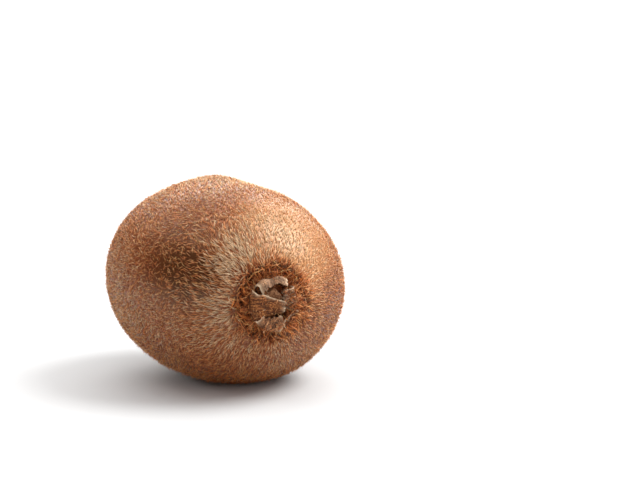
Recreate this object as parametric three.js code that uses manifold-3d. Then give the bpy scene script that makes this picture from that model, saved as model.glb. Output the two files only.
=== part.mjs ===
// A ripe kiwi fruit resting on its side: the plump body, the five dried sepals at its stem end,
// the corky stem scar inside their ring, and the tuft of dried styles at its blossom end.
//
// Units are millimetres and +Z is up. The long axis lies along Y, with the stem end towards -Y
// and the blossom end towards +Y. The origin is on the flat rest spot, under the body's middle.

import * as THREE from 'three';
import { mergeVertices } from 'three/addons/utils/BufferGeometryUtils.js';
import Module from 'manifold-3d';

const wasm = await Module();
wasm.setup();

const DEGREE = Math.PI / 180;
const GOLDEN_TURN = 137.5 * DEGREE;

// ---- the body -----------------------------------------------------------------------------

// The body's middle stands this far above the surface that the fruit rests on.
const MIDDLE_HEIGHT = 23.85;

const HALF_WIDTH = 28.0;
const HALF_HEIGHT = 24.3;
const STEM_HALF_LENGTH = 31.4;
const BLOSSOM_HALF_LENGTH = 32.8;

// 2 makes an end a plain ellipse and more makes it blunter. The stem end is the blunter one.
const STEM_FULLNESS = 2.2;
const BLOSSOM_FULLNESS = 2.04;

// The oval section is rolled a little about the long axis, and the axis bows a little. The bow
// is measured at BOW_SPAN from the middle.
const BODY_ROLL = -10.3 * DEGREE;
const BOW_SPAN = 33;
const BOW_SIDEWAYS = 0.38;
const BOW_UPWARDS = 0.27;

// Broad lumps and flats of the skin: where each lies as seen from the body's middle, how far it
// stands out, and how widely it spreads.
const LUMPS = [
  { toward: [0.55, -0.35, -0.76], out: 0.85, spread: 16 * DEGREE },
  { toward: [-0.22, -0.08, -0.97], out: -0.4, spread: 14 * DEGREE },
  { toward: [-0.86, 0.28, -0.42], out: 0.2, spread: 16 * DEGREE },
  { toward: [-0.48, 0.33, 0.81], out: -0.2, spread: 14 * DEGREE },
  { toward: [0.0, 0.17, 0.98], out: 0.6, spread: 13 * DEGREE },
  { toward: [0.34, 0.02, 0.94], out: -0.8, spread: 12 * DEGREE },
  { toward: [0.8, 0.58, 0.15], out: 0.45, spread: 20 * DEGREE },
  { toward: [-0.3, 0.84, 0.45], out: -0.35, spread: 18 * DEGREE },
  { toward: [-0.55, 0.8, -0.25], out: 0.35, spread: 16 * DEGREE },
];

const BODY_RINGS = 58;
const BODY_SEGMENTS = 64;

// How strongly the rings crowd towards the two ends, where the fine forms are.
const RING_CROWDING = 0.1;

// A block this big, with its top at the rest surface, cuts the flat rest spot.
const CUTTER_SIZE = 120;

// ---- the two ends -------------------------------------------------------------------------

// Each end has a shallow round pit with a flat floor. sideways and up: its middle, from the
// pole. depth: the floor's level below the pole. floor and rim: the radii where the floor ends
// and where the pit has run out. tall: how much taller than wide it is.
const STEM_PIT = { sideways: 0.8, up: -0.6, depth: 1.9, floor: 6.3, rim: 9.2, tall: 1.04 };
const BLOSSOM_PIT = { sideways: 0.3, up: -0.4, depth: 0.8, floor: 2.4, rim: 4.6, tall: 1 };

// A soft swelling of the skin round each pit.
const STEM_SHOULDER = { radius: 11.5, width: 3.2, out: 0.25 };
const BLOSSOM_SHOULDER = { radius: 5.4, width: 1.7, out: 0.35 };

// The pieces in the pits stand this far clear of the floors.
const CLEARANCE = 0.3;

// ---- the calyx ----------------------------------------------------------------------------

const RING_RADIUS = 5.1;
const RING_HALF_WIDTH = 0.85;
const RING_HEIGHT = 1.1;
const RING_SIDES = 8;
const RING_SEGMENTS = 40;

const BLADE_THICKNESS = 0.64;
const BLADE_STEPS = 14;
const BLADE_STRIPS = 10;
const ROOT_SUNK_TO = 0.35;

// A blade folds over this share of its reach, on either side of its bend.
const FOLD_SPAN = 0.17;

// The margin's ripples: how many cross the blade.
const RIPPLES = 1.5;

// The five dried sepals. turn: where it grows on the ring, in degrees from +X towards +Z.
// base and tip: its widths. reach: its length. rise and fold: the blade's slant in degrees
// where it leaves the ring and at its tip, 90 being straight out of the fruit and 0 straight
// across the scar. bend: the share of the reach where it folds. skew: how much shorter one side
// is than the other. tilt: how far one margin stands above the middle and the other below it.
// lean: how far its tip drifts round the ring. cup: how far both margins stand up from its
// middle. notch: the share of the reach that is torn out of the middle of its tip. wave: the
// ripples' height.
const SEPALS = [
  {
    turn: 187, base: 8.2, tip: 2.8, reach: 10.4, rise: 108, fold: 2,
    bend: 0.26, skew: 0, tilt: -1.1, lean: 1.0, cup: -0.4, notch: 0, wave: 0.14,
  },
  {
    turn: 99, base: 7.6, tip: 6.4, reach: 5.6, rise: 106, fold: 20,
    bend: 0.5, skew: 0.1, tilt: 0.4, lean: -0.3, cup: -0.6, notch: 0.18, wave: 0.45,
  },
  {
    turn: 9, base: 6.0, tip: 3.8, reach: 5.4, rise: 98, fold: 4,
    bend: 0.46, skew: 0, tilt: 0.3, lean: -0.2, cup: -0.5, notch: 0.1, wave: 0.3,
  },
  {
    turn: -46, base: 6.4, tip: 5.2, reach: 4.2, rise: 98, fold: 50,
    bend: 0.6, skew: 0, tilt: 0, lean: 0, cup: -0.3, notch: 0, wave: 0.3,
  },
  {
    turn: -110, base: 7.0, tip: 4.8, reach: 6.8, rise: 104, fold: 4,
    bend: 0.46, skew: 0.24, tilt: 0.2, lean: 0.7, cup: -0.3, notch: 0, wave: 0.2,
  },
];

// ---- the stem scar ------------------------------------------------------------------------

// It stands a little off the middle of the pit.
const SCAR_PLACE = { sideways: -0.2, up: 0.9 };

// Half of its outline, from the middle of its foot to the middle of its hollow top.
const SCAR_OUTLINE = [
  [0, 0],
  [2.3, 0],
  [2.55, 0.35],
  [2.4, 1.4],
  [2.1, 2.0],
  [1.6, 2.15],
  [1.1, 1.9],
  [0, 1.75],
];
const SCAR_SEGMENTS = 28;
const SCAR_LOBES = 5;
const SCAR_LOBE_SHARE = 0.07;

// Broken fibres stand round its rim: how many, how far from the middle the inner and outer ones
// grow, their radius at the root, the height that they start at inside the scar, the lengths
// of the shortest and longest, how far the inner and outer ones splay, and how much further
// each one bends, in degrees.
const FIBRES = {
  count: 13, seed: 11, place: [1.3, 1.85], radius: 0.32, foot: 1.25,
  length: [0.9, 1.2], splay: [5, 25], curl: 0,
};

// ---- the style tuft -----------------------------------------------------------------------

const HUB_RADIUS = 1.9;
const HUB_HEIGHT = 1.3;
const HUB_SEGMENTS = 20;
const HUB_RINGS = 8;

// The dried styles, with the same measures as the fibres.
const STYLES = {
  count: 24, seed: 5, place: [0.15, 1.4], radius: 0.36, foot: 0.5,
  length: [2.2, 3.6], splay: [4, 46], curl: 34,
};
const STALK_SIDES = 5;
const STALK_STEPS = 5;
const STALK_TAPER = 0.86;
const SPLAY_SCATTER = 10;

// ---- small helpers ------------------------------------------------------------------------

function smooth(low, high, value) {
  return THREE.MathUtils.smoothstep(value, low, high);
}

function mix(from, to, share) {
  return from + (to - from) * share;
}

// A repeatable source of numbers from 0 to 1.
function seeded(seed) {
  let state = seed;
  return () => {
    state = (state * 1664525 + 1013904223) % 4294967296;
    return state / 4294967296;
  };
}

// A closed geometry as a solid that can be joined and cut.
function solidFrom(geometry) {
  const bare = geometry.clone();
  bare.deleteAttribute('normal');
  bare.deleteAttribute('uv');
  const merged = mergeVertices(bare, 1e-4);
  const mesh = new wasm.Mesh({
    numProp: 3,
    vertProperties: new Float32Array(merged.attributes.position.array),
    triVerts: new Uint32Array(merged.index.array),
  });
  return new wasm.Manifold(mesh);
}

function geometryFrom(solid) {
  const mesh = solid.getMesh();
  const geometry = new THREE.BufferGeometry();
  geometry.setAttribute('position', new THREE.BufferAttribute(mesh.vertProperties, 3));
  geometry.setIndex(new THREE.BufferAttribute(mesh.triVerts, 1));
  geometry.computeVertexNormals();
  return geometry;
}

function indexedGeometry(points, faces) {
  const geometry = new THREE.BufferGeometry();
  geometry.setFromPoints(points);
  geometry.setIndex(faces);
  return geometry;
}

// A closed skin over rings of points, with a single point closing each end. Each ring runs
// clockwise as seen from the start, so that the faces look outwards.
function closeRings(start, rings, end) {
  const points = [start, ...rings.flat(), end];
  const faces = [];
  const size = rings[0].length;
  const last = points.length - 1;
  for (let i = 0; i < size; i += 1) {
    const next = (i + 1) % size;
    faces.push(0, 1 + next, 1 + i);
    for (let ring = 0; ring < rings.length - 1; ring += 1) {
      const near = 1 + ring * size;
      const far = near + size;
      faces.push(near + i, near + next, far + i);
      faces.push(near + next, far + next, far + i);
    }
    const final = 1 + (rings.length - 1) * size;
    faces.push(final + i, final + next, last);
  }
  return indexedGeometry(points, faces);
}

// ---- the body's surface -------------------------------------------------------------------

function bowAt(y) {
  const share = (y / BOW_SPAN) ** 2;
  return { x: BOW_SIDEWAYS * share, z: BOW_UPWARDS * share };
}

// The plain rounded form, `tilt` being 0 at the stem end and PI at the blossom end.
function plainPoint(tilt, around) {
  const lengthwise = Math.cos(tilt);
  const atStem = lengthwise > 0;
  const fullness = 2 / (atStem ? STEM_FULLNESS : BLOSSOM_FULLNESS);
  const half = atStem ? STEM_HALF_LENGTH : BLOSSOM_HALF_LENGTH;
  const girth = Math.sin(tilt) ** fullness;
  const y = -Math.sign(lengthwise) * half * Math.abs(lengthwise) ** fullness;
  const across = HALF_WIDTH * girth * Math.cos(around);
  const upright = HALF_HEIGHT * girth * Math.sin(around);
  const bow = bowAt(y);
  const x = across * Math.cos(BODY_ROLL) - upright * Math.sin(BODY_ROLL) + bow.x;
  const z = across * Math.sin(BODY_ROLL) + upright * Math.cos(BODY_ROLL) + bow.z;
  return new THREE.Vector3(x, y, z);
}

// Lumps and flats move the skin straight away from, or towards, the body's middle.
function addLumps(point) {
  const direction = point.clone().normalize();
  for (const lump of LUMPS) {
    const toward = new THREE.Vector3(...lump.toward).normalize();
    const apart = direction.angleTo(toward) / lump.spread;
    point.addScaledVector(direction, lump.out * Math.exp(-apart * apart));
  }
  return point;
}

// Sinks one end's pit, on the side that `outward` (-1 stem, +1 blossom) names.
function sinkPit(point, outward, half, pit, shoulder) {
  if (point.y * outward <= 0) {
    return point;
  }
  const bow = bowAt(half);
  const sideways = point.x - bow.x - pit.sideways;
  const upwards = (point.z - bow.z - pit.up) / pit.tall;
  const radius = Math.hypot(sideways, upwards);
  const fromShoulder = (radius - shoulder.radius) / shoulder.width;
  const level = point.y + outward * shoulder.out * Math.exp(-fromShoulder * fromShoulder);
  point.y = mix(outward * (half - pit.depth), level, smooth(pit.floor, pit.rim, radius));
  return point;
}

function bodyPoint(tilt, around) {
  const point = addLumps(plainPoint(tilt, around));
  sinkPit(point, -1, STEM_HALF_LENGTH, STEM_PIT, STEM_SHOULDER);
  sinkPit(point, 1, BLOSSOM_HALF_LENGTH, BLOSSOM_PIT, BLOSSOM_SHOULDER);
  return point;
}

function bodyGeometry() {
  const rings = [];
  for (let ring = 1; ring < BODY_RINGS; ring += 1) {
    const share = ring / BODY_RINGS;
    const tilt = Math.PI * (share - RING_CROWDING * Math.sin(2 * Math.PI * share));
    const points = [];
    for (let i = 0; i < BODY_SEGMENTS; i += 1) {
      points.push(bodyPoint(tilt, (-2 * Math.PI * i) / BODY_SEGMENTS));
    }
    rings.push(points);
  }
  return closeRings(bodyPoint(0, 0), rings, bodyPoint(Math.PI, 0));
}

function fruitBody() {
  const cutter = new THREE.BoxGeometry(CUTTER_SIZE, CUTTER_SIZE, CUTTER_SIZE);
  cutter.translate(0, 0, -MIDDLE_HEIGHT - CUTTER_SIZE / 2);
  return geometryFrom(solidFrom(bodyGeometry()).subtract(solidFrom(cutter)));
}

// ---- the sepals ---------------------------------------------------------------------------
// These are made with +Z pointing straight out of the fruit and z = 0 at the pit's floor.

function slantAt(sepal, share) {
  const folded = smooth(sepal.bend - FOLD_SPAN, sepal.bend + FOLD_SPAN, share);
  return mix(sepal.rise, sepal.fold, folded) * DEGREE;
}

// Walks up the middle of the blade: how far in and how far out each step has come.
function bladeSpine(sepal) {
  const spine = [{ inward: 0, outward: CLEARANCE + ROOT_SUNK_TO }];
  const stride = sepal.reach / BLADE_STEPS;
  for (let step = 0; step < BLADE_STEPS; step += 1) {
    const slant = slantAt(sepal, (step + 0.5) / BLADE_STEPS);
    const here = spine[step];
    spine.push({
      inward: here.inward + stride * Math.cos(slant),
      outward: here.outward + stride * Math.sin(slant),
    });
  }
  return spine;
}

// How far in and out the spine is at a share of the reach.
function spineAt(spine, share) {
  const step = Math.min(Math.floor(share * BLADE_STEPS), BLADE_STEPS - 1);
  const rest = share * BLADE_STEPS - step;
  return {
    inward: mix(spine[step].inward, spine[step + 1].inward, rest),
    outward: mix(spine[step].outward, spine[step + 1].outward, rest),
  };
}

// One point of a blade: `step` counts along it, `across` runs from -1 to 1 over its width and
// `side` is 1 on its outer face and -1 on its inner face.
function bladePoint(sepal, spine, step, across, side) {
  const torn = 1 - sepal.notch * (1 - across * across);
  const share = (step / BLADE_STEPS) * torn * (1 - (sepal.skew * (1 - across)) / 2);
  const middle = spineAt(spine, share);
  const slant = slantAt(sepal, share);
  const width = mix(sepal.base, sepal.tip, share ** 1.2);
  const offside = (across * width) / 2;
  const followRing = ((1 - share) * offside * offside) / (2 * RING_RADIUS);
  const cupped = (sepal.cup * across * across + sepal.tilt * across) * share;
  const ripple = sepal.wave * Math.sin(RIPPLES * Math.PI * across + sepal.turn) * share;
  const raised = cupped + ripple + (side * BLADE_THICKNESS) / 2;
  const inward = middle.inward + followRing - raised * Math.sin(slant);
  const outward = middle.outward + raised * Math.cos(slant);
  const sidelong = offside + sepal.lean * share * share;
  const place = new THREE.Vector3(RING_RADIUS - inward, sidelong, outward);
  return place.applyAxisAngle(new THREE.Vector3(0, 0, 1), sepal.turn * DEGREE);
}

// The rows of a blade are loops round its section, so it closes like any ringed skin.
function sepalGeometry(sepal) {
  const spine = bladeSpine(sepal);
  const rows = [];
  for (let step = 0; step <= BLADE_STEPS; step += 1) {
    const outer = [];
    const inner = [];
    for (let strip = 0; strip <= BLADE_STRIPS; strip += 1) {
      const across = (2 * strip) / BLADE_STRIPS - 1;
      outer.push(bladePoint(sepal, spine, step, across, 1));
      inner.push(bladePoint(sepal, spine, step, across, -1));
    }
    rows.push([outer, inner]);
  }
  return bladeSkin(rows);
}

// Both faces of a blade are split along like diagonals, and a rim of quads joins them.
function bladeSkin(rows) {
  const strips = BLADE_STRIPS + 1;
  const points = rows.flat(2);
  const at = (step, strip, face) => (step * 2 + face) * strips + strip;
  const faces = [];
  const quad = (a, b, c, d) => faces.push(a, b, c, a, c, d);
  for (let step = 0; step < BLADE_STEPS; step += 1) {
    for (let strip = 0; strip < BLADE_STRIPS; strip += 1) {
      quad(
        at(step, strip, 0), at(step, strip + 1, 0),
        at(step + 1, strip + 1, 0), at(step + 1, strip, 0),
      );
      faces.push(at(step, strip, 1), at(step + 1, strip + 1, 1), at(step, strip + 1, 1));
      faces.push(at(step, strip, 1), at(step + 1, strip, 1), at(step + 1, strip + 1, 1));
    }
    const edge = BLADE_STRIPS;
    quad(at(step, 0, 1), at(step, 0, 0), at(step + 1, 0, 0), at(step + 1, 0, 1));
    quad(at(step, edge, 0), at(step, edge, 1), at(step + 1, edge, 1), at(step + 1, edge, 0));
  }
  for (let strip = 0; strip < BLADE_STRIPS; strip += 1) {
    const end = BLADE_STEPS;
    quad(at(0, strip, 0), at(0, strip, 1), at(0, strip + 1, 1), at(0, strip + 1, 0));
    quad(at(end, strip, 0), at(end, strip + 1, 0), at(end, strip + 1, 1), at(end, strip, 1));
  }
  return indexedGeometry(points, faces);
}

function calyxRing() {
  const ring = new THREE.TorusGeometry(RING_RADIUS, RING_HALF_WIDTH, RING_SIDES, RING_SEGMENTS);
  ring.scale(1, 1, RING_HEIGHT / (2 * RING_HALF_WIDTH));
  ring.translate(0, 0, CLEARANCE + RING_HEIGHT / 2);
  return ring;
}

function calyx() {
  let solid = solidFrom(calyxRing());
  for (const sepal of SEPALS) {
    solid = solid.add(solidFrom(sepalGeometry(sepal)));
  }
  const geometry = geometryFrom(solid);
  geometry.scale(1, STEM_PIT.tall, 1);
  return geometry;
}

// ---- the scar and the styles --------------------------------------------------------------
// These too have +Z pointing out of the fruit and z = 0 at the pit's floor.

// A slim tapered stalk with flat ends along a line of points.
function stalkGeometry(line, radius) {
  const rings = line.map((point, step) => {
    const ahead = line[Math.min(step + 1, line.length - 1)];
    const behind = line[Math.max(step - 1, 0)];
    const along = ahead.clone().sub(behind).normalize();
    const turn = new THREE.Quaternion().setFromUnitVectors(new THREE.Vector3(0, 0, 1), along);
    const thick = radius * mix(1, STALK_TAPER, step / (line.length - 1));
    const ring = [];
    for (let i = 0; i < STALK_SIDES; i += 1) {
      const around = (2 * Math.PI * i) / STALK_SIDES;
      const corner = new THREE.Vector3(Math.cos(around), Math.sin(around), 0);
      ring.push(corner.multiplyScalar(thick).applyQuaternion(turn).add(point));
    }
    return ring;
  });
  return closeRings(line[0], rings, line[line.length - 1]);
}

// The line of one stalk of a tuft, from its buried root out to its tip.
function stalkLine(tuft, index, random) {
  const around = index * GOLDEN_TURN;
  const share = Math.sqrt((index + 0.5) / tuft.count);
  const from = mix(tuft.place[0], tuft.place[1], share);
  const length = mix(tuft.length[0], tuft.length[1], random());
  const splay = mix(tuft.splay[0], tuft.splay[1], share) + SPLAY_SCATTER * (random() - 0.5);
  const line = [];
  const point = new THREE.Vector3(from * Math.cos(around), from * Math.sin(around), tuft.foot);
  for (let step = 0; step <= STALK_STEPS; step += 1) {
    line.push(point.clone());
    const slant = (splay + (tuft.curl * step) / STALK_STEPS) * DEGREE;
    const stride = length / STALK_STEPS;
    point.x += stride * Math.sin(slant) * Math.cos(around);
    point.y += stride * Math.sin(slant) * Math.sin(around);
    point.z += stride * Math.cos(slant);
  }
  return line;
}

// Fuses a tuft's stalks to the solid that they grow from.
function addStalks(solid, tuft) {
  const random = seeded(tuft.seed);
  let joined = solid;
  for (let index = 0; index < tuft.count; index += 1) {
    const stalk = stalkGeometry(stalkLine(tuft, index, random), tuft.radius);
    joined = joined.add(solidFrom(stalk));
  }
  return joined;
}

// The scar is turned on its outline and then squeezed into uneven lobes.
function scarGeometry() {
  const outline = SCAR_OUTLINE.map(([radius, height]) => new THREE.Vector2(radius, height));
  const scar = new THREE.LatheGeometry(outline, SCAR_SEGMENTS);
  scar.rotateX(Math.PI / 2);
  const place = scar.attributes.position;
  for (let i = 0; i < place.count; i += 1) {
    const around = Math.atan2(place.getY(i), place.getX(i));
    const swell = 1 + SCAR_LOBE_SHARE * Math.sin(SCAR_LOBES * around + 1);
    place.setXY(i, place.getX(i) * swell, place.getY(i) * swell);
  }
  return scar;
}

function stemScar() {
  const geometry = geometryFrom(addStalks(solidFrom(scarGeometry()), FIBRES));
  geometry.translate(SCAR_PLACE.sideways, SCAR_PLACE.up, CLEARANCE);
  return geometry;
}

function styleTuft() {
  const dome = new THREE.SphereGeometry(HUB_RADIUS, HUB_SEGMENTS, HUB_RINGS);
  dome.rotateX(Math.PI / 2);
  dome.scale(1, 1, HUB_HEIGHT / (2 * HUB_RADIUS));
  dome.translate(0, 0, HUB_HEIGHT / 2);
  const geometry = geometryFrom(addStalks(solidFrom(dome), STYLES));
  geometry.translate(0, 0, CLEARANCE);
  return geometry;
}

// ---- the whole fruit ----------------------------------------------------------------------

const skinMaterial = new THREE.MeshStandardMaterial({
  color: 0x8c6a45, roughness: 0.75, metalness: 0,
});
const sepalMaterial = new THREE.MeshStandardMaterial({
  color: 0x8a5f3f, roughness: 0.9, metalness: 0,
});
const scarMaterial = new THREE.MeshStandardMaterial({
  color: 0x6b5240, roughness: 0.95, metalness: 0,
});
const styleMaterial = new THREE.MeshStandardMaterial({
  color: 0x3a2a1e, roughness: 0.85, metalness: 0,
});

function named(name, geometry, material) {
  const mesh = new THREE.Mesh(geometry, material);
  mesh.name = name;
  return mesh;
}

// A group with its origin on an end's pit floor and its +Z pointing out of the fruit.
function endGroup(outward, half, pit) {
  const bow = bowAt(half);
  const group = new THREE.Group();
  group.position.set(bow.x + pit.sideways, outward * (half - pit.depth), bow.z + pit.up);
  group.rotation.x = (-outward * Math.PI) / 2;
  return group;
}

const fruit = new THREE.Group();
fruit.position.z = MIDDLE_HEIGHT;
fruit.add(named('fruit_body', fruitBody(), skinMaterial));

const stemEnd = endGroup(-1, STEM_HALF_LENGTH, STEM_PIT);
stemEnd.add(named('calyx', calyx(), sepalMaterial));
stemEnd.add(named('stem_scar', stemScar(), scarMaterial));
fruit.add(stemEnd);

const blossomEnd = endGroup(1, BLOSSOM_HALF_LENGTH, BLOSSOM_PIT);
blossomEnd.add(named('style_tuft', styleTuft(), styleMaterial));
fruit.add(blossomEnd);

const kiwi = new THREE.Group();
kiwi.add(fruit);

export default kiwi;
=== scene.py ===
# %% [markdown]
# # A hairy kiwi fruit
# This script dresses a plain solid model of a kiwi fruit. The solid has the right size and the
# right pieces, but smooth faces and no hair. Here each piece gets a finer mesh with the same
# form, its own procedural material, and the thousands of small hairs that make a kiwi a kiwi.
# The object lies with its stem end towards -Y, its blossom end towards +Y, and +Z up.

import math
from types import SimpleNamespace as Measures

import bpy
import numpy as np
from mathutils import Matrix, Vector, noise


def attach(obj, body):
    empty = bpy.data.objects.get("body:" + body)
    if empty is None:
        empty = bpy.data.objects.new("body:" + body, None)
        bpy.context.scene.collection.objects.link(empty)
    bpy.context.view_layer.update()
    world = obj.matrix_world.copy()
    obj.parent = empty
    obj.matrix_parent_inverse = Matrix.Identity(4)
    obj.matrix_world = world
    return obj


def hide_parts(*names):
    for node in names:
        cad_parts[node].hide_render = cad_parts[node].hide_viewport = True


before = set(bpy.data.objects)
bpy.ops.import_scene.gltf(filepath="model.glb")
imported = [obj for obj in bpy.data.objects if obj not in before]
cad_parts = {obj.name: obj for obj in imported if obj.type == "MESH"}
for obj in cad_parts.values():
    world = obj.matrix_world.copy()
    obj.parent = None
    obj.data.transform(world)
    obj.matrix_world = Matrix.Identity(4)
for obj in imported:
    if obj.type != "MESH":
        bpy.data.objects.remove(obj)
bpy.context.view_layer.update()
print("solid pieces:", sorted(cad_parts))

# %% [markdown]
# ## Sizes
# The measures below are those of the solid model, in millimetres. Blender works in metres, so
# every mesh is shaped in millimetres and scaled once, where the mesh is made.
# Keeping one set of named measures means that the fine skin, the hairs that stand on it and
# the camera all agree about where the fruit is.

# %% Measures of the body
MM = 0.001
MIDDLE_HEIGHT = 23.85
HALF_WIDTH = 28.0
HALF_HEIGHT = 24.3
BODY_ROLL = math.radians(-10.3)
BOW_SPAN = 33.0
BOW_SIDEWAYS = 0.38
BOW_UPWARDS = 0.27

# Broad lumps and flats: (the way it lies from the middle, how far out, spread in degrees)
LUMPS = [
    ((0.55, -0.35, -0.76), 0.85, 16),
    ((-0.22, -0.08, -0.97), -0.4, 14),
    ((-0.86, 0.28, -0.42), 0.2, 16),
    ((-0.48, 0.33, 0.81), -0.2, 14),
    ((0.0, 0.17, 0.98), 0.6, 13),
    ((0.34, 0.02, 0.94), -0.8, 12),
    ((0.8, 0.58, 0.15), 0.45, 20),
    ((-0.3, 0.84, 0.45), -0.35, 18),
    ((-0.55, 0.8, -0.25), 0.35, 16),
]

# Each end: its way along Y and its half length, its pit, and the soft shoulder round the pit
STEM = Measures(outward=-1, half=31.4, fullness=2.2,
                sideways=0.8, up=-0.6, depth=1.9, floor=6.3, rim=9.2, tall=1.04,
                shoulder_radius=11.5, shoulder_width=3.2, shoulder_out=0.25)
BLOSSOM = Measures(outward=1, half=32.8, fullness=2.04,
                   sideways=0.3, up=-0.4, depth=0.8, floor=2.4, rim=4.6, tall=1.0,
                   shoulder_radius=5.4, shoulder_width=1.7, shoulder_out=0.35)
CLEARANCE = 0.3
print("body length:", round(STEM.half + BLOSSOM.half, 1), "mm")

# %% [markdown]
# ## Small tools
# A few helpers keep the later cells short: smooth steps between two values, a mesh from
# arrays of points and faces, and a colour given as the familiar 0 to 255 numbers.
# Blender's shader sockets want linear light, so the colour helper converts as it goes.

# %% Helpers for numbers and colours
NOISE_APART = (7.3, 3.1, 5.7)
SMALLEST_LENGTH = 1e-9


def smooth(low, high, value):
    share = np.clip((value - low) / (high - low), 0.0, 1.0)
    return share * share * (3 - 2 * share)


def mix(start, end, share):
    return start + (end - start) * share


def paint(red, green, blue):
    """A linear RGBA colour from the usual 0 to 255 values, which follow the sRGB curve."""
    values = np.array([red, green, blue]) / 255
    linear = np.where(values <= 0.04045, values / 12.92, ((values + 0.055) / 1.055) ** 2.4)
    return (*map(float, linear), 1.0)


def rough(points, size, seed):
    """Smooth noise round 0 at each point, with features of about `size` millimetres."""
    shift = Vector([seed * step for step in NOISE_APART])
    return np.array([noise.noise(Vector(point) / size + shift) for point in points])


def full_turn(count):
    """Evenly spaced angles all the way round."""
    return 2 * math.pi * np.arange(count) / count


def running(steps):
    """How far one has come before the first step and after each of them."""
    return np.concatenate([[0.0], np.cumsum(steps)])


def unit(vectors):
    return vectors / np.maximum(np.linalg.norm(vectors, axis=1, keepdims=True), SMALLEST_LENGTH)


def turned_by(angle, across, upright):
    """Two coordinates after a turn in their own plane."""
    return (across * math.cos(angle) - upright * math.sin(angle),
            across * math.sin(angle) + upright * math.cos(angle))


def nearness(directions, toward, spread):
    """1 where a direction is the given way, and less the further away it points."""
    axis = np.array(toward) / np.linalg.norm(toward)
    apart = np.degrees(np.arccos(np.clip(directions @ axis, -1, 1))) / spread
    return np.exp(-(apart**2))


print("a warm brown in linear light:", [round(value, 3) for value in paint(123, 63, 31)])

# %% Helpers for meshes
def new_object(name, data):
    thing = bpy.data.objects.new(name, data)
    bpy.context.scene.collection.objects.link(thing)
    return thing


def mesh_object(name, points, faces):
    """A smooth-shaded mesh object from millimetre points."""
    mesh = bpy.data.meshes.new(name)
    mesh.from_pydata((np.asarray(points) * MM).tolist(), [], faces)
    mesh.polygons.foreach_set("use_smooth", [True] * len(mesh.polygons))
    mesh.update()
    return new_object(name, mesh)


def give_fields(piece, **fields):
    """Stores numbers or vectors, one per vertex, under names that nodes can read."""
    for name, values in fields.items():
        values = np.asarray(values, np.float32)
        kind, part = ("FLOAT", "value") if values.ndim == 1 else ("FLOAT_VECTOR", "vector")
        layer = piece.data.attributes.new(name, kind, "POINT")
        layer.data.foreach_set(part, values.ravel())
    return list(fields)


def closed_rings(count, size):
    """Faces of a skin over `count` rings of `size` points, with a point closing each end."""
    last = 1 + count * size
    faces = []
    for i in range(size):
        after = (i + 1) % size
        faces.append((0, 1 + after, 1 + i))
        for ring in range(count - 1):
            near = 1 + ring * size
            far = near + size
            faces.append((near + i, near + after, far + after, far + i))
        final = last - size
        faces.append((final + i, final + after, last))
    return faces


print("faces round two rings of three points:", len(closed_rings(2, 3)))

# %% [markdown]
# ## The shape of the body
# A kiwi is close to an egg with three different widths, a little blunter at the stem end.
# A superellipsoid gives that with one formula: rings of points run from one end to the other,
# and an exponent above 2 makes an end blunter than a plain ellipse.
# Lumps and flats then push the skin in or out, and each end gets its shallow pit.

# %% Formula of the body
def bow_at(y):
    share = (y / BOW_SPAN) ** 2
    return BOW_SIDEWAYS * share, BOW_UPWARDS * share


def plain_points(tilt, around):
    """Points of the plain rounded form; tilt is 0 at the stem end and pi at the other."""
    lengthwise = np.cos(tilt)
    at_stem = lengthwise > 0
    fullness = 2 / np.where(at_stem, STEM.fullness, BLOSSOM.fullness)
    half = np.where(at_stem, STEM.half, BLOSSOM.half)
    girth = np.abs(np.sin(tilt)) ** fullness
    y = -np.sign(lengthwise) * half * np.abs(lengthwise) ** fullness
    across = HALF_WIDTH * girth * np.cos(around)
    upright = HALF_HEIGHT * girth * np.sin(around)
    bow_x, bow_z = bow_at(y)
    x, z = turned_by(BODY_ROLL, across, upright)
    return np.stack([x + bow_x, y, z + bow_z], axis=-1)


def add_lumps(points):
    directions = unit(points)
    moved = points.copy()
    for toward, out, spread in LUMPS:
        moved += directions * (out * nearness(directions, toward, spread))[:, None]
    return moved


def sink_pit(points, end):
    """Sinks the pit of one end."""
    bow_x, bow_z = bow_at(end.half)
    sideways = points[:, 0] - bow_x - end.sideways
    upwards = (points[:, 2] - bow_z - end.up) / end.tall
    radius = np.hypot(sideways, upwards)
    beyond = (radius - end.shoulder_radius) / end.shoulder_width
    level = points[:, 1] + end.outward * end.shoulder_out * np.exp(-(beyond**2))
    floor = end.outward * (end.half - end.depth)
    sunk = mix(floor, level, smooth(end.floor, end.rim, radius))
    points[:, 1] = np.where(points[:, 1] * end.outward > 0, sunk, points[:, 1])
    return points


def body_points(tilt, around):
    points = add_lumps(plain_points(tilt, around))
    return sink_pit(sink_pit(points, STEM), BLOSSOM)


tips = body_points(np.array([0.0, math.pi]), np.zeros(2))
print("length between the pits:", round(tips[1, 1] - tips[0, 1], 2), "mm")

# %% [markdown]
# ## The skin
# Under its hair the skin is thin, dry and a little uneven, like fine leather. The fine mesh
# takes the formula's points and adds two sizes of soft noise along the way outwards.
# The rest spot is flattened by lifting every point that would go below the table, and a little
# more, because the hairs pressed flat under the fruit need some room.

# %% Skin mesh
SKIN_RINGS = 150
SKIN_SEGMENTS = 190
RING_CROWDING = 0.1
PRESSED_HAIR_ROOM = 0.2

# The skin's unevenness: (size of its features, how far in and out they move the skin)
SKIN_WAVES = ((5.0, 0.09), (1.1, 0.035))


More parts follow.
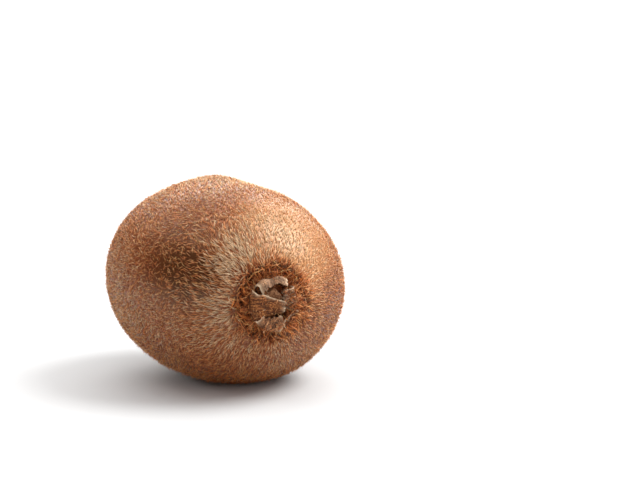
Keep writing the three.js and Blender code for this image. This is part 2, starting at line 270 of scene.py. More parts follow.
def make_skin():
    share = np.arange(1, SKIN_RINGS + 1) / (SKIN_RINGS + 1)
    tilts = math.pi * (share - RING_CROWDING * np.sin(2 * math.pi * share))
    tilt = np.concatenate([[0.0], np.repeat(tilts, SKIN_SEGMENTS), [math.pi]])
    around = np.concatenate([[0.0], np.tile(-full_turn(SKIN_SEGMENTS), SKIN_RINGS), [0.0]])
    points = body_points(tilt, around)
    directions = unit(points)
    for seed, (size, height) in enumerate(SKIN_WAVES):
        points = points + directions * (height * rough(points, size, seed))[:, None]
    points[:, 2] = np.maximum(points[:, 2] + MIDDLE_HEIGHT, PRESSED_HAIR_ROOM)
    return mesh_object("fruit_skin", points, closed_rings(SKIN_RINGS, SKIN_SEGMENTS))


fruit_skin = make_skin()
print("skin faces:", len(fruit_skin.data.polygons))

# %% [markdown]
# ## The sepals
# The calyx is what is left of the flower's outer leaves: five dry, papery sepals that stay on
# the ring where the stalk was. Here the widest one is folded right across the scar.
# Each blade is a strip that leaves the ring, folds over and ends in a torn margin. A walk
# along its middle line, turning a little at each step, gives the fold without any modelling
# by hand, and the rest is offsets from that line.

# %% Measures of the sepals
RING_RADIUS = 5.1
RING_HALF_WIDTH = 0.85
RING_HEIGHT = 1.1
SPINE_STEPS = 60
BLADE_STRIPS = 36

# In degrees and millimetres, with the same meaning as in the solid model. The last three, from
# 0 to 1, say how pale a sepal has dried, how thickly rusty fuzz covers it, and how dark the
# painted shade is that runs along one side of it.
SEPAL_MEASURES = (
    "turn base tip reach rise fold bend skew tilt lean cup notch wave pale fuzz stain")
SEPALS = [Measures(**dict(zip(SEPAL_MEASURES.split(), row))) for row in (
    (187, 8.2, 2.8, 10.4, 108, 2, 0.26, 0.0, -1.1, 1.0, -0.4, 0.0, 0.14, 0.0, 0.05, 1.0),
    (99, 7.6, 6.4, 5.6, 106, 20, 0.5, 0.1, 0.4, -0.3, -0.6, 0.18, 0.7, 0.5, 0.0, 0.0),
    (9, 6.0, 3.8, 6.2, 98, 4, 0.42, 0.0, 0.3, 0.9, -0.5, 0.1, 0.5, 0.7, 0.5, 0.0),
    (-46, 6.4, 5.2, 4.2, 98, 50, 0.6, 0.0, 0.0, 0.0, -0.3, 0.0, 0.3, 0.2, 0.9, 0.0),
    (-110, 7.0, 4.8, 6.8, 104, 4, 0.46, 0.24, 0.2, 0.7, -0.3, 0.0, 0.2, 0.22, 0.1, 0.0),
)]
print("sepals:", len(SEPALS))

# %% Middle line of a blade
ROOT_SUNK_TO = 0.35
FOLD_SPAN = 0.17


def folded_at(sepal, share):
    """0 before a sepal's fold and 1 past it."""
    return smooth(sepal.bend - FOLD_SPAN, sepal.bend + FOLD_SPAN, share)


def slant_at(sepal, share):
    return np.radians(mix(sepal.rise, sepal.fold, folded_at(sepal, share)))


def spine_of(sepal):
    """How far in and out the middle line has come at each of its steps."""
    middles = (np.arange(SPINE_STEPS) + 0.5) / SPINE_STEPS
    slant = slant_at(sepal, middles)
    stride = sepal.reach / SPINE_STEPS
    outward = running(stride * np.sin(slant)) + CLEARANCE + ROOT_SUNK_TO
    return running(stride * np.cos(slant)), outward


print("the wide sepal reaches in by", round(max(spine_of(SEPALS[0])[0]), 2), "mm")

# %% Face of a blade
MIDDLE_THICKNESS = 0.62
MARGIN_THICKNESS = 0.34
VEINS = 7
VEIN_HEIGHT = 0.035
VEIN_SPREAD = 0.15
RIPPLES = 1.5
CREASE_HEIGHT = 0.34
MARGIN_ROLL = 0.3
TORN_DEPTH = 0.2
TAPER_POWER = 1.2
MARGIN_POWER = 4
TIP_POWER = 6
TORN_TIP_POWER = 8
# How strongly a sepal's crease valleys are darkened with painted shade
HOLLOW_SHADE_STRENGTH = 1.4
# Where the painted shade along one side of a blade begins and where it is full, across the blade
SHADED_SIDE = (0.1, 0.9)
SEPALS_APART = 10.0
NOISE_ACROSS = 3

# Three noises of a blade: (how its pattern is squeezed or stretched, size, added to the seed)
TEAR = ((0.15, 1, 1), 0.8, 0)
RAGGED = ((1, 0.1, 1), 0.9, 9)
CREASES = ((0.6, 0.8, 1), 1.1, 5)


def blade_face(sepal, spine, seed, side):
    """Points of one face of a blade, and their marks; side is 1 outside and -1 inside."""
    step, strip = np.meshgrid(np.arange(SPINE_STEPS + 1), np.arange(BLADE_STRIPS + 1),
                              indexing="ij")
    across = 2 * strip / BLADE_STRIPS - 1
    plain_share = step / SPINE_STEPS
    places = np.stack([plain_share * sepal.reach, across * NOISE_ACROSS, across * 0 + seed], -1)

    def uneven(stretch, size, offset):
        return rough(places.reshape(-1, 3) * stretch, size, seed + offset).reshape(step.shape)

    share = plain_share * (1 - sepal.notch * (1 - across**2))
    share = share * (1 - sepal.skew * (1 - across) / 2)
    share = np.clip(share * (1 + TORN_DEPTH * uneven(*TEAR) * plain_share**3), 0, 1)
    steps = np.arange(SPINE_STEPS + 1)
    inward, outward = (np.interp(share * SPINE_STEPS, steps, way) for way in spine)
    slant = slant_at(sepal, share)
    width = mix(sepal.base, sepal.tip, share**TAPER_POWER)
    offside = across * width / 2 * (1 + TORN_DEPTH * uneven(*RAGGED) * share * across**2)
    margin = np.abs(across) ** MARGIN_POWER
    creases = uneven(*CREASES)
    raised = (sepal.cup * across**2 + sepal.tilt * across) * share
    raised = raised + sepal.wave * np.sin(RIPPLES * math.pi * across + sepal.turn) * share
    raised = raised + CREASE_HEIGHT * creases * share
    raised = raised + MARGIN_ROLL * margin**3 * share
    vein = np.cos(VEINS * math.pi * across * (1 + VEIN_SPREAD * share)) * VEIN_HEIGHT * (1 - margin)
    thickness = mix(MIDDLE_THICKNESS, MARGIN_THICKNESS, np.maximum(margin, share**TIP_POWER))
    raised = raised + side * thickness / 2 + (side > 0) * vein
    follow_ring = (1 - share) * offside**2 / (2 * RING_RADIUS)
    inward = inward + follow_ring - raised * np.sin(slant)
    outward = outward + raised * np.cos(slant)
    sidelong = offside + sepal.lean * share**2
    x, y = turned_by(math.radians(sepal.turn), RING_RADIUS - inward, sidelong)
    # Painted shade along one side of the blade, which also keeps the pale margin off that side
    stain = sepal.stain * smooth(*SHADED_SIDE, across)
    marks = dict(
        # Painted shade in the crease valleys, plus the painted shade along one side
        hollow_shade=np.clip(0.5 - HOLLOW_SHADE_STRENGTH * creases, 0, 1) + stain,
        margin=np.maximum(margin * (1 - stain), share**TORN_TIP_POWER),
        folded=folded_at(sepal, share),
        outside=(side + 1) / 2,
        pale=sepal.pale,
        fuzz=sepal.fuzz,
        lengthwise=share * sepal.reach,
        sidelong=offside + SEPALS_APART * seed,
    )
    return np.stack([x, y, outward], -1).reshape(-1, 3), marks


points, marks = blade_face(SEPALS[0], spine_of(SEPALS[0]), 0, 1)
print("points of a face:", len(points), "with marks:", list(marks))

# %% Quads of a blade
def blade_faces(first):
    """Quads of both faces of a blade and of the rim between them."""
    rows, columns = SPINE_STEPS + 1, BLADE_STRIPS + 1
    end, edge = SPINE_STEPS, BLADE_STRIPS
    faces = []

    def quad(*corners):
        """Adds a quad; a corner is its step along the blade, its strip across it and its face."""
        faces.append(tuple(first + (face * rows + step) * columns + strip
                           for step, strip, face in corners))

    for i in range(end):
        for j in range(edge):
            quad((i, j, 0), (i, j + 1, 0), (i + 1, j + 1, 0), (i + 1, j, 0))
            quad((i + 1, j, 1), (i + 1, j + 1, 1), (i, j + 1, 1), (i, j, 1))
        quad((i, 0, 1), (i, 0, 0), (i + 1, 0, 0), (i + 1, 0, 1))
        quad((i, edge, 0), (i, edge, 1), (i + 1, edge, 1), (i + 1, edge, 0))
    for j in range(edge):
        quad((0, j, 0), (0, j, 1), (0, j + 1, 1), (0, j + 1, 0))
        quad((end, j, 0), (end, j + 1, 0), (end, j + 1, 1), (end, j, 1))
    return faces


print("quads of a blade:", len(blade_faces(0)))

# %% [markdown]
# The blades are made lying on a flat pit floor with +Z pointing out of the fruit, because a
# flower is easiest to think about that way. One small function then turns anything made like
# that round to its end of the fruit.

# %% Calyx mesh
RING_SIDES = 16
RING_SEGMENTS = 96
RING_MARKS = dict(hollow_shade=0.5, margin=0.0, folded=0.0, outside=1.0, pale=0.0, fuzz=0.6,
                  lengthwise=0.0, sidelong=0.0)


def to_end(points, end):
    """Moves points from an end's own upright frame to their place on the fruit."""
    bow_x, bow_z = bow_at(end.half)
    x = points[:, 0] + bow_x + end.sideways
    y = end.outward * (end.half - end.depth + points[:, 2])
    z = -end.outward * points[:, 1] + bow_z + end.up + MIDDLE_HEIGHT
    return np.stack([x, y, z], -1)


def ring_points():
    turn, slope = np.meshgrid(full_turn(RING_SEGMENTS), full_turn(RING_SIDES), indexing="ij")
    radius = RING_RADIUS + RING_HALF_WIDTH * np.cos(slope)
    height = CLEARANCE + RING_HEIGHT / 2 * (1 + np.sin(slope))
    return np.stack([radius * np.cos(turn), radius * np.sin(turn), height], -1).reshape(-1, 3)


def ring_faces():
    faces = []
    for i in range(RING_SEGMENTS):
        for j in range(RING_SIDES):
            after_i, after_j = (i + 1) % RING_SEGMENTS, (j + 1) % RING_SIDES
            faces.append((i * RING_SIDES + j, after_i * RING_SIDES + j,
                          after_i * RING_SIDES + after_j, i * RING_SIDES + after_j))
    return faces


def whole_marks(parts, name):
    """One kind of mark for the points of all parts."""
    return np.concatenate([np.ones(len(points)) * np.ravel(marks[name])
                           for points, marks in parts])


def make_calyx():
    parts, faces = [(ring_points(), RING_MARKS)], ring_faces()
    for seed, sepal in enumerate(SEPALS):
        faces += blade_faces(sum(len(part[0]) for part in parts))
        spine = spine_of(sepal)
        parts += [blade_face(sepal, spine, seed, side) for side in (1, -1)]
    whole = np.concatenate([part[0] for part in parts])
    whole[:, 1] *= STEM.tall
    piece = mesh_object("dried_sepals", to_end(whole, STEM), faces)
    give_fields(piece, **{name: whole_marks(parts, name) for name in RING_MARKS})
    return piece


dried_sepals = make_calyx()
print("calyx faces:", len(dried_sepals.data.polygons))

# %% [markdown]
# ## The scar and the dried styles
# Inside the ring of sepals the broken stalk leaves a corky stub with torn fibres round its rim.
# At the other end the flower's styles dry into a small dark tuft. Both are made from the same
# two ideas: an outline turned about an axis, and slim tapered tubes that follow bent lines.
# A small seeded random source keeps every stalk in the same place as on the solid model.

# %% Measures of the scar and the tuft
GOLDEN_TURN = math.radians(137.5)
SCAR_PLACE = (-0.2, 0.9)
SCAR_OUTLINE = [
    (0, 0), (2.3, 0), (2.55, 0.35), (2.4, 1.4), (2.1, 2.0), (1.6, 2.15), (1.1, 1.9), (0, 1.75),
]
SCAR_ROWS = 40
SCAR_SEGMENTS = 90
SCAR_LOBES = 5
SCAR_LOBE_SHARE = 0.07
SCAR_CRUMBLE = Measures(height=0.22, size=0.5, seed=3, above=0.5)
FIBRES = Measures(count=13, seed=11, place=(1.3, 1.85), radius=0.3, foot=1.25,
                  length=(0.9, 1.2), splay=(5, 25), curl=0)
STRANDS = Measures(count=60, seed=23, place=(0.3, 1.9), radius=0.08, foot=1.55,
                   length=(0.5, 0.9), splay=(-10, 30), curl=20)

HUB_RADIUS = 1.9
HUB_HEIGHT = 1.3
STYLES = Measures(count=24, seed=5, place=(0.15, 1.4), radius=0.3, foot=0.5,
                  length=(2.2, 3.6), splay=(4, 46), curl=34)
FILAMENTS = Measures(count=90, seed=31, place=(0.9, 1.75), radius=0.075, foot=0.3,
                     length=(1.6, 3.2), splay=(20, 72), curl=40)
SPLAY_SCATTER = 10
STALK_SIDES = 6
STALK_STEPS = 9
STALK_TAPER = 0.6
print("stalks:", sum(tuft.count for tuft in (FIBRES, STRANDS, STYLES, FILAMENTS)))

# %% Tools for stalks
DRAW_FACTOR, DRAW_STEP, DRAW_RANGE = 1664525, 1013904223, 2**32


def seeded(seed):
    """A repeatable source of numbers from 0 to 1."""
    state = seed
    while True:
        state = (state * DRAW_FACTOR + DRAW_STEP) % DRAW_RANGE
        yield state / DRAW_RANGE


def stalk_line(tuft, index, random):
    """The line of one stalk of a tuft, from its buried root out to its tip."""
    around = index * GOLDEN_TURN
    share = math.sqrt((index + 0.5) / tuft.count)
    start = mix(*tuft.place, share)
    length = mix(*tuft.length, next(random))
    splay = mix(*tuft.splay, share) + SPLAY_SCATTER * (next(random) - 0.5)
    steps = np.arange(STALK_STEPS) / STALK_STEPS
    slant = np.radians(splay + tuft.curl * steps)
    sideways = running(np.sin(slant)) * length / STALK_STEPS + start
    upwards = running(np.cos(slant)) * length / STALK_STEPS + tuft.foot
    return np.stack([sideways * math.cos(around), sideways * math.sin(around), upwards], -1)


def tube(line, radius):
    """Points and faces of a tapered tube with closed ends along a line."""
    turns = full_turn(STALK_SIDES)
    circle = np.stack([np.cos(turns), np.sin(turns), turns * 0], -1)
    rows = []
    for step, place in enumerate(line):
        along = Vector(line[min(step + 1, len(line) - 1)] - line[max(step - 1, 0)])
        turn = np.array(along.to_track_quat("Z", "Y").to_matrix())
        thick = radius * mix(1.0, STALK_TAPER, step / (len(line) - 1))
        rows.append(circle @ turn.T * thick + place)
    points = np.concatenate([[line[0]], *rows, [line[-1]]])
    return points, closed_rings(len(line), STALK_SIDES)


def joined(parts):
    """Several (points, faces) parts as one."""
    points, faces, first = [], [], 0
    for part_points, part_faces in parts:
        points.append(part_points)
        faces += [tuple(first + corner for corner in face) for face in part_faces]
        first += len(part_points)
    return np.concatenate(points), faces


def stalks(tuft):
    random = seeded(tuft.seed)
    return [tube(stalk_line(tuft, index, random), tuft.radius)
            for index in range(tuft.count)]


def turned(outline, rows, segments):
    """An outline of (radius, height) points turned about the upright axis."""
    outline = np.array(outline, float)
    lengths = running(np.linalg.norm(np.diff(outline, axis=0), axis=1))
    at = np.linspace(0, lengths[-1], rows + 2)
    radius = np.interp(at, lengths, outline[:, 0])
    height = np.interp(at, lengths, outline[:, 1])
    turns = full_turn(segments)
    rings = (np.outer(radius[1:-1], np.cos(turns)), np.outer(radius[1:-1], np.sin(turns)),
             np.outer(height[1:-1], np.ones(segments)))
    first, last = [[0, 0, height[0]]], [[0, 0, height[-1]]]
    points = np.concatenate([first, np.stack(rings, -1).reshape(-1, 3), last])
    return points, closed_rings(rows, segments)


print("points of one fibre:", len(stalks(FIBRES)[0][0]))


# %% Scar mesh
def make_scar():
    points, faces = turned(SCAR_OUTLINE, SCAR_ROWS, SCAR_SEGMENTS)
    around = np.arctan2(points[:, 1], points[:, 0])
    swell = 1 + SCAR_LOBE_SHARE * np.sin(SCAR_LOBES * around + 1)
    points[:, :2] *= swell[:, None]
    crumbs = rough(points, SCAR_CRUMBLE.size, SCAR_CRUMBLE.seed)
    points[:, 2] += SCAR_CRUMBLE.height * crumbs * (points[:, 2] > SCAR_CRUMBLE.above)
    points, faces = joined([(points, faces), *stalks(FIBRES), *stalks(STRANDS)])
    points += np.array([*SCAR_PLACE, CLEARANCE])
    return mesh_object("stalk_scar", to_end(points, STEM), faces)


stalk_scar = make_scar()
print("scar faces:", len(stalk_scar.data.polygons))

# %% Style tuft mesh
HUB_ROWS = 20
HUB_SEGMENTS = 48


def make_styles():
    slopes = np.linspace(0, math.pi, HUB_ROWS)
    outline = [(HUB_RADIUS * math.sin(slope), HUB_HEIGHT / 2 * (1 - math.cos(slope)))
               for slope in slopes]
    hub = turned(outline, HUB_ROWS, HUB_SEGMENTS)
    points, faces = joined([hub, *stalks(STYLES), *stalks(FILAMENTS)])
    points[:, 2] += CLEARANCE
    return mesh_object("dried_styles", to_end(points, BLOSSOM), faces)


dried_styles = make_styles()
print("style faces:", len(dried_styles.data.polygons))

# %% [markdown]
# ## How the hairs lie
# A kiwi's hairs are short and stiff. They lie combed away from the stem end over its shoulder,
# straightest and longest on its upper left side. Further on they are more and more tangled,
# and round the sepals they stand up in a rusty crown.
# Handling wears some patches thin, so that the dark skin shows, and rubs one shoulder smooth
# and glossy. The darker skin of the worn patches is partly painted shade, and other patches are
# painted lighter on top and darker at the bottom edge as painted light and shade. The rubbed
# shoulder has shorter, thinner hairs, and its paler skin and hairs are a painted highlight.
# Each of these habits is one number or vector per point of the skin, stored on the mesh, so
# that the hair generator and the skin's colour only have to read them.

# %% Measures of the coat
# Where each habit of the coat begins and ends, in millimetres from the middle of its pit
CROWN_EDGE = (7.6, 10.4)
SHOULDER_EDGE = (15, 26)
STYLE_TUFT_EDGE = (3.5, 8)
BARE_UNDER_CALYX = (6.5, 7.5)
BARE_UNDER_STYLES = (2.0, 3.0)

# Worn and full patches, partly real wear and tone and partly painted light and shade, such as a
# dark band, a darker bottom edge and a paler top: (the way it lies from the middle, spread in
# degrees, worn and shaded, paler and lit)
PATCHES = [
    ((-0.55, -0.8, 0.22), 18, 0.8, -0.08),
    ((-0.72, -0.65, 0.24), 16, 0.4, -0.06),
    ((-0.43, -0.89, 0.16), 9, 0.4, -0.12),
    ((-0.22, -0.92, 0.33), 9, -0.5, 0.28),
    ((-0.7, -0.65, -0.3), 26, 0.0, 0.11),
    ((-0.28, -0.95, 0.05), 11, -0.4, 0.2),
    ((-0.99, -0.12, -0.07), 26, 0.0, 0.12),
    ((0.5, -0.85, -0.16), 16, 0.0, -0.12),
    ((0.2, -0.83, -0.52), 14, -0.2, 0.06),
    ((-0.4, -0.85, -0.34), 18, -0.1, -0.04),
    ((-0.6, -0.52, -0.61), 18, 0.2, -0.12),
    ((-0.1, -0.1, 0.99), 30, 0.0, 0.22),
    ((0.55, 0.1, 0.83), 24, 0.0, 0.13),
    ((-0.25, -0.6, -0.75), 20, 0.1, -0.1),
    ((0.72, -0.65, -0.1), 20, 0.4, -0.13),
    ((0.5, 0.5, 0.7), 20, 0.3, -0.05),
    ((-0.8, 0.55, 0.2), 22, 0.35, -0.05),
    ((0.6, 0.7, -0.35), 24, 0.0, 0.08),
    ((-0.2, -0.66, -0.72), 20, 0.1, -0.1),
    ((0.15, -0.3, -0.94), 24, 0.15, -0.14),
    ((-0.48, -0.5, 0.72), 20, 0.15, -0.05),
]
# The rubbed shoulder: shorter, thinner hairs, with paler skin and paler hairs there as a painted
# highlight
RUBBED_AND_HIGHLIGHT_TOWARD = (0.34, -0.8, 0.5)
RUBBED_AND_HIGHLIGHT_SPREAD = math.radians(36)
RUBBED_AND_HIGHLIGHT_EDGE = (0.04, 0.02)
SLOW_NOISE = dict(size=9.0, seed=1)
QUICK_NOISE = dict(size=2.6, seed=2)
TANGLE_NOISE = (1.5, 0.8)

# In degrees, on the open skin and on the combed shoulder
TANGLE = (110, 14)
SWIRL = (75, 12)

STRAIGHTER_ON_SHOULDER = 0.55
WORN_ON_SHOULDER = 0.2
LONG_SIDE_TOWARD = (-0.6, 0.0, 0.8)
LONG_SIDE_EDGE = (-0.5, 0.7)

# On the shoulder's short side and on its long side
LONGER_ON_SHOULDER = (0.25, 0.8)
PALER_ON_SHOULDER = (0.09, 0.13)

# How much each habit brings: lengths in millimetres, lifts in degrees, and plain shares
LENGTH = dict(plain=0.78, crown=0.9, tuft=0.5, slow=0.15, rubbed=-0.3)
LIFT = dict(plain=17, shoulder=-4, crown=36, tuft=35, quick=8, rubbed=-4)
# The rubbed shoulder's paler hair tint is part of its painted highlight
TINT = dict(plain=0.68, slow=0.05, rubbed=0.13)
THINNER = dict(rubbed=0.12, worn=0.55, crown=0.88)

RUSTY_TINT = 0.42
RUSTY_TUFT = 0.8
FULLEST_COVER = 1.2
print("patches:", len(PATCHES))


# %% Tools for the coat
def pit_middle(end):
    bow_x, bow_z = bow_at(end.half)
    y = end.outward * (end.half - end.depth)
    return np.array([bow_x + end.sideways, y, bow_z + end.up])


STEM_PLACE = pit_middle(STEM)
BLOSSOM_PLACE = pit_middle(BLOSSOM)


def read_numbers(items, part, size=1):
    """A row of `size` numbers for each vertex, or for each value of a stored layer."""
    values = np.zeros(len(items) * size, np.float32)
    items.foreach_get(part, values)
    return values.reshape(-1, size)


def vertex_arrays(piece):
    """Places, in millimetres from the fruit's middle, and normals of a piece's vertices."""
    vertices = piece.data.vertices
    places = read_numbers(vertices, "co", 3) / MM - np.array([0, 0, MIDDLE_HEIGHT])
    return places, read_numbers(vertices, "normal", 3)


def combed(places, normals, away_from, turn):
    """The way hairs lie: along the skin away from a place, turned by an angle per point."""
    away = places - away_from
    flat = unit(away - normals * np.sum(away * normals, axis=1, keepdims=True))
    side = np.cross(normals, flat)
    return flat * np.cos(turn)[:, None] + side * np.sin(turn)[:, None]


def patches(directions):
    """How worn and shaded, and how much paler and lit, the coat is in each direction from the
    middle; the darkening is partly painted shade and the paling partly painted light.
    """
    worn, paler_and_lit = np.zeros(len(directions)), np.zeros(len(directions))
    for toward, spread, how_worn, how_pale_and_lit in PATCHES:
        near = nearness(directions, toward, spread)
        worn += how_worn * near
        paler_and_lit += how_pale_and_lit * near
    return worn, paler_and_lit


def total(shares, habits):
    return sum(share * habits[name] for name, share in shares.items())


print("middle of the stem pit:", STEM_PLACE.round(2))


# %% Fields on the skin
def give_skin_fields(skin):
    places, normals = vertex_arrays(skin)
    from_stem = np.linalg.norm(places - STEM_PLACE, axis=1)
    from_blossom = np.linalg.norm(places - BLOSSOM_PLACE, axis=1)
    crown = 1 - smooth(*CROWN_EDGE, from_stem)
    shoulder = (1 - smooth(*SHOULDER_EDGE, from_stem)) * (1 - crown)
    tuft = 1 - smooth(*STYLE_TUFT_EDGE, from_blossom)
    long_side = (places - STEM_PLACE) @ np.array(LONG_SIDE_TOWARD) / from_stem
    long_side = smooth(*LONG_SIDE_EDGE, long_side)
    slow, quick = rough(places, **SLOW_NOISE), rough(places, **QUICK_NOISE)
    facing = unit(places) @ unit(np.array([RUBBED_AND_HIGHLIGHT_TOWARD]))[0]
    facing = facing + RUBBED_AND_HIGHLIGHT_EDGE[0] * slow + RUBBED_AND_HIGHLIGHT_EDGE[1] * quick
    rubbed = smooth(math.cos(RUBBED_AND_HIGHLIGHT_SPREAD), 1.0, facing) * (1 - crown)
    worn, paler_and_lit = patches(unit(places))
    turn = mix(*np.radians(TANGLE), shoulder) * (TANGLE_NOISE[0] * slow + TANGLE_NOISE[1] * quick)
    habits = dict(plain=1.0, crown=crown, shoulder=shoulder, tuft=tuft, slow=slow, quick=quick,
                  rubbed=rubbed, worn=worn)
    length = total(LENGTH, habits) + mix(*LONGER_ON_SHOULDER, long_side) * shoulder
    # The paler patches are partly painted light, such as the paler top
    tint = total(TINT, habits) + paler_and_lit * (1 - crown)
    tint = tint + mix(*PALER_ON_SHOULDER, long_side) * shoulder
    bare = smooth(*BARE_UNDER_CALYX, from_stem) * smooth(*BARE_UNDER_STYLES, from_blossom)
    return give_fields(
        skin,
        comb=combed(places, normals, STEM_PLACE, turn),
        swirl=mix(*np.radians(SWIRL), shoulder),
        curl=1 - STRAIGHTER_ON_SHOULDER * shoulder,
        length=length * MM,
        lift=np.radians(total(LIFT, habits)),
        tint=mix(tint, RUSTY_TINT, np.maximum(crown, RUSTY_TUFT * tuft)),
        worn=np.clip(worn * (1 - crown) + WORN_ON_SHOULDER * shoulder * (1 - rubbed), 0, 1),
        cover=bare * np.clip(1 - total(THINNER, habits), 0, FULLEST_COVER),
        crown=crown * bare,
        rubbed=rubbed,
    )


print("skin fields:", give_skin_fields(fruit_skin))

# %% Fields on the sepals
RISER = (0.0, 0.35)
RISER_FUZZ = 0.8
SOME_FUZZ = (0.1, 0.5)
FUZZY_INSIDE = (0.5, 0.9)
FELT_TURN = 2.2
FELT_NOISE = dict(size=2.0, seed=6)
FELT_SWIRL = math.radians(80)

# Without fuzz, and in full fuzz
FELT_LENGTH = (0.5, 1.5)
FELT_LIFT = (15, 55)
FELT_COVER = (0.1, 2.4)
FELT_TINT = (0.62, 0.35)

RUSTY_FUZZ = (0.0, 0.5)
PALER_MARGIN = 0.1
THINNER_MARGIN = 0.7


def give_sepal_fields(sepals):
    places, normals = vertex_arrays(sepals)
    level = np.ones(len(places))
    outside, margin, folded, plain_fuzz = (
        read_numbers(sepals.data.attributes[name].data, "value")[:, 0]
        for name in ("outside", "margin", "folded", "fuzz"))
    riser = 1 - smooth(*RISER, folded)
    fuzz = np.maximum(plain_fuzz, RISER_FUZZ * riser * smooth(*SOME_FUZZ, plain_fuzz))
    outside = np.maximum(outside, smooth(*FUZZY_INSIDE, plain_fuzz))
    return give_fields(
        sepals,
        comb=combed(places, normals, STEM_PLACE, FELT_TURN * rough(places, **FELT_NOISE)),
        swirl=level * FELT_SWIRL,
        curl=level,
        length=mix(*FELT_LENGTH, fuzz) * MM,
        lift=np.radians(mix(*FELT_LIFT, fuzz)),
        tint=mix(*FELT_TINT, smooth(*RUSTY_FUZZ, fuzz)) + PALER_MARGIN * margin,
        cover=outside * (1 - THINNER_MARGIN * margin) * mix(*FELT_COVER, fuzz),
    )


print("sepal fields:", give_sepal_fields(dried_sepals))

# %% [markdown]
# ## A hair generator
# Geometry Nodes can scatter points over a mesh, put a copy of a small cone on each one and
# turn that copy the way the stored fields say. A three-sided cone is the cheapest solid hair,
# and from arm's length nobody can count its sides.
# Hairs scattered one by one look like static, so neighbours share a smooth noise that turns,
# tints and thins them together. That makes the small tufts and gaps of a real coat.
# The tree is built here by code. It is used several times with other inputs, and its result
# is kept as a plain mesh, so nothing depends on the modifier afterwards.

# %% Small tools for node trees
def add(tree, kind, inputs=(), output=0, **settings):
    """Adds a node, sets or links its inputs by name or by order, and returns one output."""
    node = tree.nodes.new(kind)
    for name, value in settings.items():
        setattr(node, name, value)
    in_use = [socket for socket in node.inputs if socket.enabled]
    if isinstance(inputs, dict):
        names = [socket.name for socket in in_use]
        pairs = [(in_use[names.index(name)], source) for name, source in inputs.items()]
    else:
        pairs = zip(in_use, inputs)
    for socket, source in pairs:
        if isinstance(source, bpy.types.NodeSocket):
            tree.links.new(source, socket)
        else:
            socket.default_value = source
    results = [socket for socket in node.outputs if socket.enabled]
    return results[output] if isinstance(output, int) else node.outputs[output]


def maths(tree, operation, *sources):
    return add(tree, "ShaderNodeMath", sources, operation=operation)


def vectors(tree, operation, *sources):
    return add(tree, "ShaderNodeVectorMath", sources, operation=operation)


def stored(tree, name, kind="FLOAT"):
    """A value that the source mesh or the hair carries under a name."""
    return add(tree, "GeometryNodeInputNamedAttribute", {"Name": name}, data_type=kind)


def store(tree, geometry, name, value, kind="FLOAT", domain="POINT"):
    inputs = {"Geometry": geometry, "Name": name, "Value": value}
    return add(tree, "GeometryNodeStoreNamedAttribute", inputs, data_type=kind, domain=domain)


print("tools that add nodes: add, maths, vectors, stored, store")

# %% Inputs, chances and tufts
HAIR_INPUTS = dict(
    Density=1e6, Cover="cover", Seed=0, Shortest=0.6, Longest=1.1, Width=0.0001, Scatter=0.35,
    Extra_Lift=0.0, Bend=0.0, Segments=1, Tint_Spread=0.3, Tint_Shift=0.0, Tuft_Size=0.0011,
    Gaps=0.0, Material=None,
)
SOCKET_KINDS = {float: "Float", int: "Int", str: "String", type(None): "Material"}
SEED_STEPS = dict(tint=5, loose=11, way=17, roll=23, curl=31, length=41)
TUFT_CONTRAST = 4.0


def chance(tree, given, step, low, high, kind="FLOAT"):
    """A random number, or vector, per hair, with a seed of its own."""
    seed = maths(tree, "ADD", given["Seed"], SEED_STEPS[step])
    inputs = {"Min": low, "Max": high, "Seed": seed}
    return add(tree, "FunctionNodeRandomValue", inputs, data_type=kind)


def any_way(tree, given, step):
    return chance(tree, given, step, (-1, -1, -1), (1, 1, 1), "FLOAT_VECTOR")


def tufts(tree, given, times):
    """Smooth noise round 0 that neighbouring hairs share, so that they lie in tufts."""
    place = add(tree, "GeometryNodeInputPosition")
    scale = maths(tree, "DIVIDE", times, given["Tuft Size"])
    pattern = add(tree, "ShaderNodeTexNoise", {"Vector": place, "Scale": scale, "Detail": 1.0})
    return maths(tree, "MULTIPLY_ADD", pattern, TUFT_CONTRAST, -TUFT_CONTRAST / 2)


print("hair inputs:", len(HAIR_INPUTS))

# %% The way a hair points
LOOSE_SHARE = 0.7
FULL_ROLL = 6.28


def hair_direction(tree, normal, given):
    """The way a hair points: its comb, its swirl, its lift off the skin and its own scatter."""
    lift = maths(tree, "ADD", stored(tree, "lift"), given["Extra Lift"])
    way = chance(tree, given, "way", -LOOSE_SHARE, LOOSE_SHARE)
    way = maths(tree, "ADD", way, tufts(tree, given, 1.0))
    comb = stored(tree, "comb", "FLOAT_VECTOR")
    angle = maths(tree, "MULTIPLY", way, stored(tree, "swirl"))
    swirled = add(tree, "ShaderNodeVectorRotate", {"Vector": comb, "Axis": normal, "Angle": angle},
                  rotation_type="AXIS_ANGLE")
    flat = vectors(tree, "SCALE", swirled, maths(tree, "COSINE", lift))
    raised = vectors(tree, "SCALE", normal, maths(tree, "SINE", lift))
    loose = vectors(tree, "SCALE", any_way(tree, given, "loose"), given["Scatter"])
    both = vectors(tree, "ADD", flat, raised)
    return vectors(tree, "NORMALIZE", vectors(tree, "ADD", both, loose))


def hair_rotation(tree, direction, given):
    """A turn that points a cone along a direction, with a random roll about itself."""
    align = add(tree, "FunctionNodeAlignRotationToVector", {"Vector": direction}, axis="Z")
    angle = chance(tree, given, "roll", 0.0, FULL_ROLL)
    roll = add(tree, "FunctionNodeAxisAngleToRotation", {"Axis": (0, 0, 1), "Angle": angle})
    return add(tree, "FunctionNodeRotateRotation", {"Rotation": align, "Rotate By": roll},
               rotation_space="LOCAL")


print("each hair turns out of its tuft by up to", LOOSE_SHARE, "of the swirl")

# %% One hair
HAIR_SIDES = 3
HAIR_SWELL = 1.6


